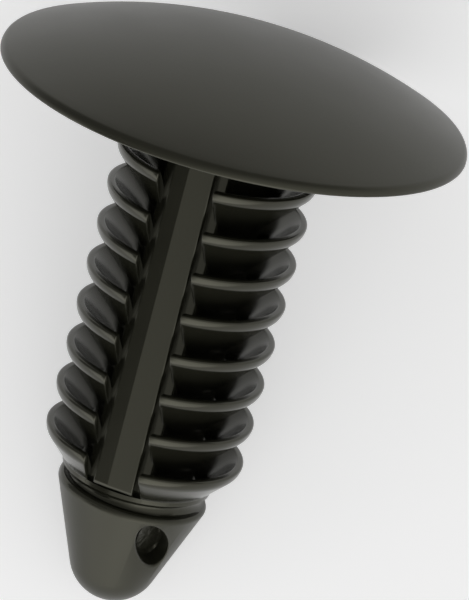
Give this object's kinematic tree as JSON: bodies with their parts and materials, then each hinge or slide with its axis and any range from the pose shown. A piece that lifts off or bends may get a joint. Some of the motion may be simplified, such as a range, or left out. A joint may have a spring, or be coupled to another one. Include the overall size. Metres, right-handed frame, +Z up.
{
  "type": "push rivet",
  "caption": "Plastic push-in rivet: broad thin domed head on a barbed shank with a lengthwise bar and a blunt cone tip, lying at rest on its rim.",
  "frame": {"origin": "on the ground under the middle of the part's box, with the rivet lying as it comes to rest on its head's rim and its last barb", "axes": "+Z up; +X towards the nose, in the upright plane that holds the rivet's axis and the middle of both bars; the axis slopes down towards the nose by 20.2 degrees"},
  "size_m": [0.0232, 0.018, 0.0169],
  "materials": {
    "nylon": "black moulded nylon, semi-gloss"
  },
  "bodies": {
    "root": {"push_rivet": "nylon"}
  },
  "joints": []
}
